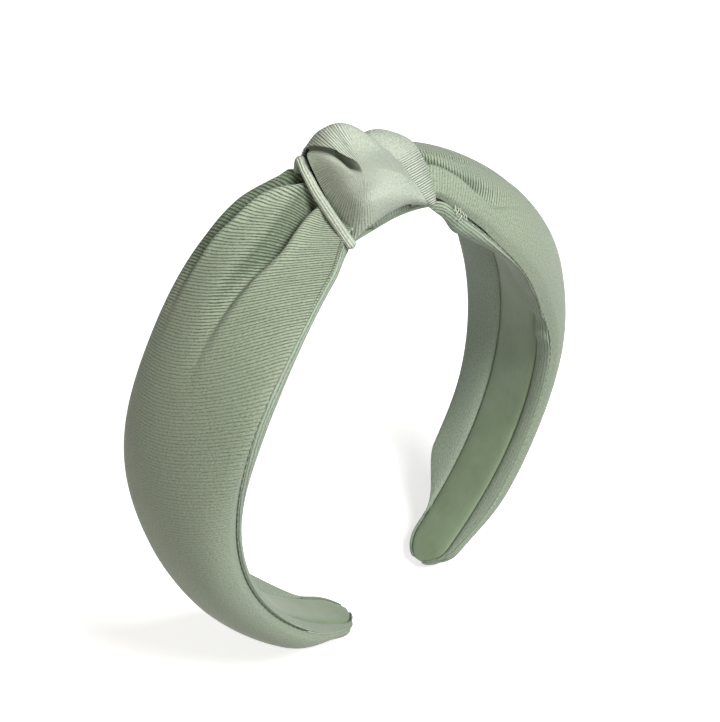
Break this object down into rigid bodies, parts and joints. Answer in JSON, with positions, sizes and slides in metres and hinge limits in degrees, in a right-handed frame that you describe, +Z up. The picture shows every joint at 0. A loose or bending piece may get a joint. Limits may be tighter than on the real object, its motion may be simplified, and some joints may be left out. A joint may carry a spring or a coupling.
{
  "type": "knotted headband",
  "caption": "Padded fabric headband on a springy covered hoop, with wide pleated legs and a soft fabric knot on the crown.",
  "frame": {"origin": "middle of the crown's inner face, where the band rests on the head", "axes": "+Z up, away from the head at the crown; +X across the head to the wearer's left; -Y towards the forehead and the knot's free front"},
  "size_m": [0.1452, 0.0508, 0.1713],
  "materials": {
    "panel_twill": "ribbed satin twill, soft sheen",
    "facing_twill": "the same twill, ribs along the band",
    "strip_satin": "smooth satin, glued to the hoop",
    "foam": "open-cell foam, hidden",
    "hoop_plastic": "moulded plastic, hidden",
    "seam_thread": "spun polyester thread",
    "tack_thread": "pale spun polyester thread"
  },
  "bodies": {
    "crown": {"hoop_crown": "hoop_plastic", "sleeve_crown": "strip_satin", "knot_core": "facing_twill", "knot_main_loop": "panel_twill", "knot_right_loop": "panel_twill", "knot_collar": "facing_twill"},
    "left_arm": {"hoop_arm_left": "hoop_plastic", "sleeve_left": "strip_satin", "pad_left": "foam", "outer_panel_left": "panel_twill", "facing_left": "facing_twill", "seam_thread_front_left": "seam_thread", "seam_thread_back_left": "seam_thread", "closing_stitch_left": "tack_thread"},
    "right_arm": {"hoop_arm_right": "hoop_plastic", "sleeve_right": "strip_satin", "pad_right": "foam", "outer_panel_right": "panel_twill", "facing_right": "facing_twill", "seam_thread_front_right": "seam_thread", "seam_thread_back_right": "seam_thread", "closing_stitch_right": "tack_thread", "knot_tack_thread": "tack_thread"}
  },
  "joints": [
    {"name": "left_arm_flex", "type": "hinge", "parent": "crown", "child": "left_arm", "pos_m": [-0.01018, 0, 0.0008], "axis": [0, 1, 0], "range_deg": [-4, 14], "stiffness_Nm_per_rad": 0.6},
    {"name": "right_arm_flex", "type": "hinge", "parent": "crown", "child": "right_arm", "pos_m": [0.02101, 0, -0.00244], "axis": [0, -1, 0], "range_deg": [-4, 14], "stiffness_Nm_per_rad": 0.6}
  ]
}
